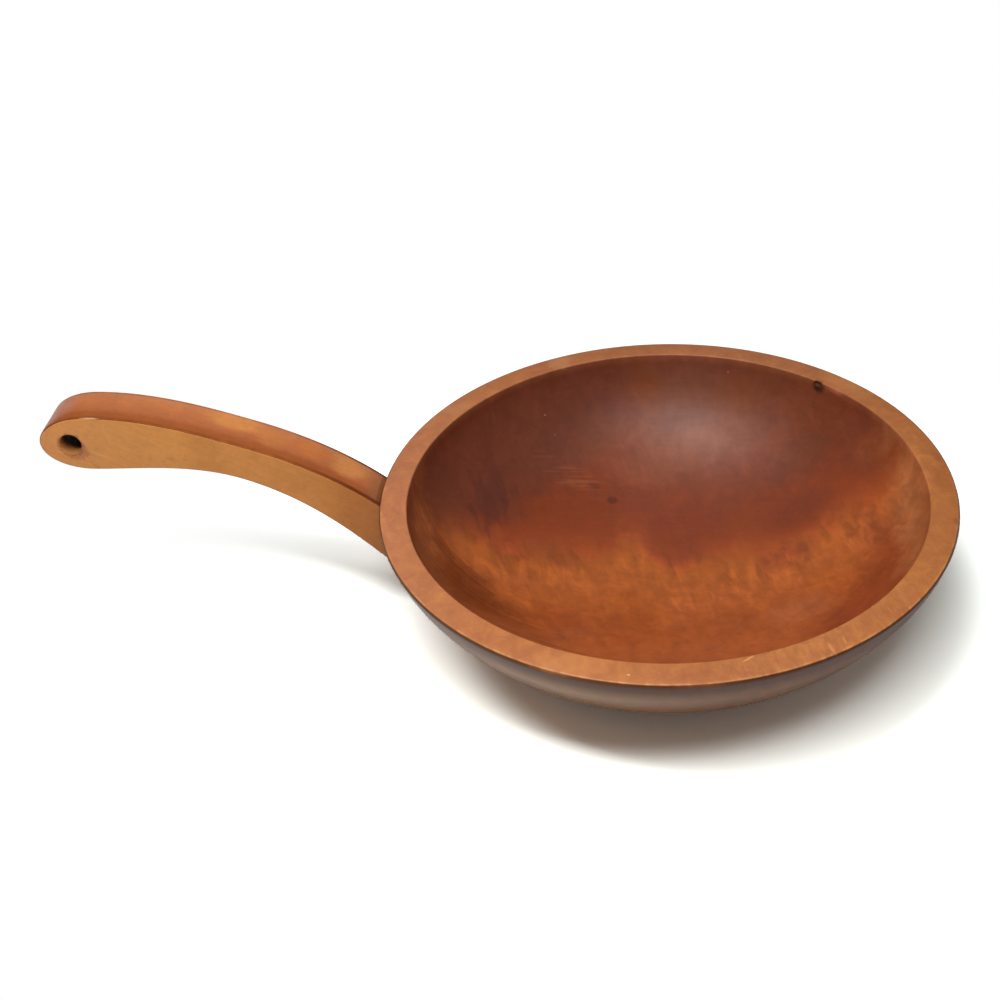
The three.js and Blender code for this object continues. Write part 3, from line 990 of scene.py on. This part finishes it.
# At the arris: a dark line that wanders, partly pooled stain and partly painted shade, and darkest and
# widest near the foot, where it is painted shade; beyond it lies the sanded side. Each line has its
# distances from the handle's middle.
wandering = add_node(handle_maple, "Math", {0: clouds, 1: 0.8, 2: from_middle}, operation="MULTIPLY_ADD")
dark_arris = add_node(
    handle_maple,
    "MapRange",
    {"Value": flecks, "From Min": 0.35, "From Max": 0.6, "To Min": 0.85, "To Max": 0.4},
)
near_foot = add_node(
    handle_maple,
    "MapRange",
    {"Value": handle_axes["X"], "From Min": -158, "From Max": -132, "To Max": 0.9},
)
arris_lines = {
    "arris_stain_and_shade": ((9.3, 10.3), (11.4, 11.0), "#7d3a13", dark_arris),
    "foot_arris_shade": ((8.8, 9.8), (11.4, 11.0), "#5c290c", near_foot),
}
arrised = footed
for name, ((starts, full), (ends, fades), colour, strength) in arris_lines.items():
    rising = add_node(
        handle_maple, "MapRange", {"Value": wandering, "From Min": starts, "From Max": full}
    )
    falling = add_node(
        handle_maple,
        "MapRange",
        {"Value": wandering, "From Min": ends, "From Max": fades, "To Max": strength},
    )
    on_band = add_node(handle_maple, "Math", {0: rising, 1: falling}, operation="MULTIPLY", name=name)
    arrised = add_node(handle_maple, "Mix", {0: on_band, 6: arrised, 7: linear(colour)}, data_type="RGBA")
side_wandering = add_node(
    handle_maple, "Math", {0: clouds, 1: 0.3, 2: from_middle}, operation="MULTIPLY_ADD"
)
on_side = add_node(
    handle_maple,
    "MapRange",
    {"Value": side_wandering, "From Min": 10.73, "From Max": 10.8},
    interpolation_type="SMOOTHSTEP",
)
lined = add_node(handle_maple, "Mix", {0: on_side, 6: arrised, 7: sides}, data_type="RGBA")

# Near the hole, a painted highlight: a small pale glint on the near arris.
from_glint = add_node(
    handle_maple,
    "Mapping",
    {"Vector": handle_place, "Location": (-240.5, -10.4, 104.8), "Scale": (5, 0.4, 0.6)},
    vector_type="TEXTURE",
)
glint_off = add_node(handle_maple, "VectorMath", {0: from_glint}, operation="LENGTH")
arris_glint = add_node(
    handle_maple, "MapRange", {"Value": glint_off, "From Min": 1, "From Max": 0.4, "To Max": 0.6}
)
lined = add_node(handle_maple, "Mix", {0: arris_glint, 6: lined, 7: linear("#e9bd94")}, data_type="RGBA")

# The bore is furry, and painted shade darkens it from its pale mouth inwards. Its edge has a dark, torn
# fringe, and the wood below its mouth is stained.
bore_place = add_node(
    handle_maple,
    "Mapping",
    {"Vector": handle_place, "Location": (-hole_place.x / mm, 0, -hole_place.z / mm), "Scale": (1, 0, 1)},
)
bore_off = add_node(handle_maple, "VectorMath", {0: bore_place}, operation="LENGTH")
hole_edge = hang_hole_radius / mm
in_bore = add_node(
    handle_maple,
    "MapRange",
    {"Value": bore_off, "From Min": hole_edge + 0.9, "From Max": hole_edge + 0.1},
)
smudge_place = add_node(
    handle_maple,
    "Mapping",
    {
        "Vector": handle_place,
        "Location": (hole_place.x / mm + 2, 0, hole_place.z / mm - 3),
        "Scale": (6, 1000, 5),
    },
    vector_type="TEXTURE",
)
smudge_off = add_node(handle_maple, "VectorMath", {0: smudge_place}, operation="LENGTH")
smudge_frayed = add_node(
    handle_maple, "Math", {0: flecks, 1: 1.2, 2: smudge_off}, operation="MULTIPLY_ADD"
)
smudge = add_node(
    handle_maple,
    "MapRange",
    {"Value": smudge_frayed, "From Min": 1.7, "From Max": 1.3, "To Max": 0.55},
    interpolation_type="SMOOTHSTEP",
)
smudged = add_node(handle_maple, "Mix", {0: smudge, 6: lined, 7: linear("#9f5c3a")}, data_type="RGBA")
# Painted shade: the bore is painted darker the deeper it goes, and pale at its mouth.
bore_shade_depth = add_node(handle_maple, "Math", {0: flecks, 1: 3, 2: from_middle}, operation="MULTIPLY_ADD")
bore_shade_share = add_node(
    handle_maple, "MapRange", {"Value": bore_shade_depth, "From Min": 4.5, "From Max": 10.5}
)
furry_bore_shade = add_node(handle_maple, "ValToRGB", {"Fac": bore_shade_share})
set_stops(furry_bore_shade, {0: "#3a2013", 0.35: "#5f3a20", 0.65: "#9c6234", 1: "#b4763c"})
fringe_fray = 3
fringe_off = add_node(
    handle_maple, "Math", {0: pores, 1: fringe_fray, 2: bore_off}, operation="MULTIPLY_ADD"
)
fringe_edge = hole_edge + fringe_fray / 2
fringe = add_node(
    handle_maple,
    "MapRange",
    {"Value": fringe_off, "From Min": fringe_edge + 1.3, "From Max": fringe_edge + 0.3, "To Max": 0.65},
)
fringed = add_node(handle_maple, "Mix", {0: fringe, 6: smudged, 7: linear("#6a3a1e")}, data_type="RGBA")
bored = add_node(handle_maple, "Mix", {0: in_bore, 6: fringed, 7: furry_bore_shade}, data_type="RGBA")
cloud_depth, fleck_depth, grain_depth = 0.06, 0.07, 0.05
handle_light = 1.0
for noise, depth in ((clouds, cloud_depth), (flecks, fleck_depth), (grain, grain_depth)):
    light = add_node(
        handle_maple,
        "MapRange",
        {"Value": noise, "From Min": 0.3, "From Max": 0.7, "To Min": 1 - depth, "To Max": 1 + depth},
    )
    handle_light = add_node(handle_maple, "Math", {0: handle_light, 1: light}, operation="MULTIPLY")
handle_colour = add_node(handle_maple, "VectorMath", {0: bored, "Scale": handle_light}, operation="SCALE")
oil_roughness = add_node(
    handle_maple,
    "MapRange",
    {"Value": from_middle, "From Min": 9, "From Max": 9.8, "To Min": 0.42, "To Max": 0.56},
)
handle_relief = add_node(handle_maple, "Bump", {"Height": grain, "Strength": 0.3, "Distance": 0.06 * mm})
fill(handle_shader, {"Base Color": handle_colour, "Roughness": oil_roughness, "Normal": handle_relief})
handle.data.materials.append(handle_maple)
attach(handle, "root")
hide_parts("handle")


# Screws. Two countersunk steel wood screws with slotted heads hold the handle. They are driven from its
# underside, square to the bowl's side, through a shank hole and into the wall, which they don't pierce.
screw_heights = {"upper_handle_screw": root_height + 7 * mm, "lower_handle_screw": toe_height + 17 * mm}
screw_bite = 7.589 * mm
screw_grip = 11.393 * mm
screw_radius = 2.1 * mm
screw_head_radius = 4.2 * mm
screw_head_height = 2.6 * mm
screw_head_edge = 0.5 * mm
screw_head_ease = 0.1 * mm
screw_point = 3 * mm
screw_steps = 48
slot_width = 1.1 * mm
slot_depth = 1.2 * mm
screw_clearance = 0.3 * mm
drill_radius = screw_radius + screw_clearance
drill_head_radius = screw_head_radius + screw_clearance
drill_reach = screw_grip + 4 * root_depth
screw_smooth_angle = math.radians(30)
screw_profile = [
    (0, -screw_bite),
    (screw_radius, screw_point - screw_bite),
    (screw_radius, screw_grip - screw_head_height),
    (screw_head_radius - screw_head_ease, screw_grip - screw_head_edge),
    (screw_head_radius, screw_grip - screw_head_edge + screw_head_ease),
    (screw_head_radius, screw_grip - screw_head_ease),
    (screw_head_radius - screw_head_ease, screw_grip),
    (0, screw_grip),
]
drill_profile = [
    (0, -screw_bite - screw_clearance),
    (drill_radius, screw_point - screw_bite - screw_clearance),
    (drill_radius, screw_grip - screw_head_height - screw_clearance),
    (drill_head_radius, screw_grip - screw_head_edge - screw_clearance),
    (drill_head_radius, drill_reach),
    (0, drill_reach),
]


def put_on_screw_line(piece, height):
    """Turns a piece made along +Z onto the line that is square to the bowl's side at a height."""
    outwards = side_normal_at(height)
    lean = Matrix.Rotation(math.atan2(-outwards.x, outwards.z), 4, "Y")
    piece.data.transform(Matrix.Translation((-side_radius_at(height), 0, height)) @ lean)
    return piece


for drilled in (bowl, handle):
    for height in screw_heights.values():
        drill = draw_line(
            "stepped_drill", [Vector((radius, 0, along)) for radius, along in drill_profile]
        )
        turn_line(screw_steps)
        cut_away(drilled, put_on_screw_line(drill, height))

# Zinc-plated steel, dulled by age. The plating has tarnished in lighter, smoother patches and darker,
# rougher ones, about 2 mm wide.
screw_steel = bpy.data.materials.new("zinc_plated_steel")
screw_steel.use_nodes = True
steel_shader = screw_steel.node_tree.nodes["Principled BSDF"]
steel_shader.inputs["Metallic"].default_value = 1
steel_where = add_node(screw_steel, "TexCoord", {}).node.outputs["Object"]
tarnish_width = 5 / 3 * mm
tarnish = add_node(
    screw_steel, "TexNoise", {"Vector": steel_where, "Scale": 1 / tarnish_width, "Detail": 4}
)
steel_colour = add_node(
    screw_steel, "Mix", {0: tarnish, 6: linear("#8d8880"), 7: linear("#b7b2a8")}, data_type="RGBA"
)
steel_roughness = add_node(screw_steel, "MapRange", {"Value": tarnish, "To Min": 0.5, "To Max": 0.3})
steel_relief = add_node(screw_steel, "Bump", {"Height": tarnish, "Strength": 0.2, "Distance": 0.05 * mm})
fill(steel_shader, {"Base Color": steel_colour, "Roughness": steel_roughness, "Normal": steel_relief})

for name, height in screw_heights.items():
    screw = draw_line(name + "_steel", [Vector((radius, 0, along)) for radius, along in screw_profile])
    turn_line(screw_steps)
    bpy.ops.object.select_all(action="DESELECT")
    bpy.ops.mesh.primitive_cube_add(size=1, location=(0, 0, screw_grip))
    slot_tool = bpy.context.object
    slot_tool.scale = (4 * screw_head_radius, slot_width, 2 * slot_depth)
    bpy.ops.object.transform_apply(location=True, scale=True)
    cut_away(screw, slot_tool)
    put_on_screw_line(screw, height)
    bpy.ops.object.shade_smooth_by_angle(angle=screw_smooth_angle)
    screw.data.materials.append(screw_steel)
    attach(screw, "root")
    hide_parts(name)


# Floor. A white table, no part of the object. It keeps the bowl's shadow, and away from the bowl it is
# seen as plain white, as the room behind it is.
bpy.ops.object.select_all(action="DESELECT")
bpy.ops.mesh.primitive_plane_add(size=6, location=(0, 0, -0.1 * mm))
floor = bpy.context.object
floor.name = "floor"
bpy.ops.object.transform_apply(location=True)
white_table = bpy.data.materials.new("white_table")
white_table.use_nodes = True
white_table.node_tree.nodes.clear()
path = add_node(white_table, "LightPath", {}).node.outputs
table_place = add_node(white_table, "TexCoord", {}).node.outputs["Object"]
table_distance = add_node(white_table, "VectorMath", {0: table_place}, operation="LENGTH")
far = add_node(
    white_table,
    "MapRange",
    {"Value": table_distance, "From Min": 120 * mm, "From Max": 270 * mm},
    interpolation_type="SMOOTHSTEP",
)
far_mirrored = add_node(
    white_table,
    "MapRange",
    {"Value": table_distance, "From Min": 280 * mm, "From Max": 500 * mm},
    interpolation_type="SMOOTHSTEP",
)
lit = add_node(white_table, "BsdfDiffuse", {"Color": (0.8, 0.8, 0.8, 1)})
near_white = add_node(white_table, "BsdfDiffuse", {"Color": (2.25, 2.35, 2.25, 1)})
far_white = add_node(white_table, "Emission", {"Color": (1, 1, 1, 1), "Strength": 1})
shown = add_node(white_table, "MixShader", {0: far, 1: near_white, 2: far_white})
mirrored = add_node(white_table, "MixShader", {0: far_mirrored, 1: lit, 2: far_white})
to_varnish = add_node(white_table, "MixShader", {0: path["Is Glossy Ray"], 1: lit, 2: mirrored})
table_finish = add_node(white_table, "MixShader", {0: path["Is Camera Ray"], 1: to_varnish, 2: shown})
add_node(white_table, "OutputMaterial", {"Surface": table_finish})
floor.data.materials.append(white_table)


# Light. Two soft lamps in a dim room whose walls are seen as white: a long strip over the front of the
# bowl, which throws the shadow, and a window over its middle, which the varnish of the hollow mirrors.
lamp_target = Vector((0, 0.02, 0.04))
lamps = {
    "strip_lamp": ((0.6, 0.12), 3.3, (-0.105, -0.275, 0.58)),
    "window_lamp": ((0.35, 0.2), 1.45, (-0.08, -0.06, 0.70)),
}
for name, (size, watts, place) in lamps.items():
    lamp = bpy.data.objects.new(name, bpy.data.lights.new(name, "AREA"))
    lamp.data.shape = "RECTANGLE"
    lamp.data.size, lamp.data.size_y = size
    lamp.data.energy = watts
    lamp.location = place
    lamp.rotation_euler = (lamp_target - lamp.location).to_track_quat("-Z", "Y").to_euler()
    bpy.context.scene.collection.objects.link(lamp)
bpy.data.objects["strip_lamp"].visible_glossy = False
room = bpy.data.worlds.new("dim_room")
room.use_nodes = True
room_light = room.node_tree.nodes["Background"]
room_path = add_node(room, "LightPath", {}).node.outputs
room_level = add_node(room, "MapRange", {"Value": room_path["Is Camera Ray"], "To Min": 0.1, "To Max": 1})
fill(room_light, {"Color": (1, 1, 1, 1), "Strength": room_level})
bpy.context.scene.world = room
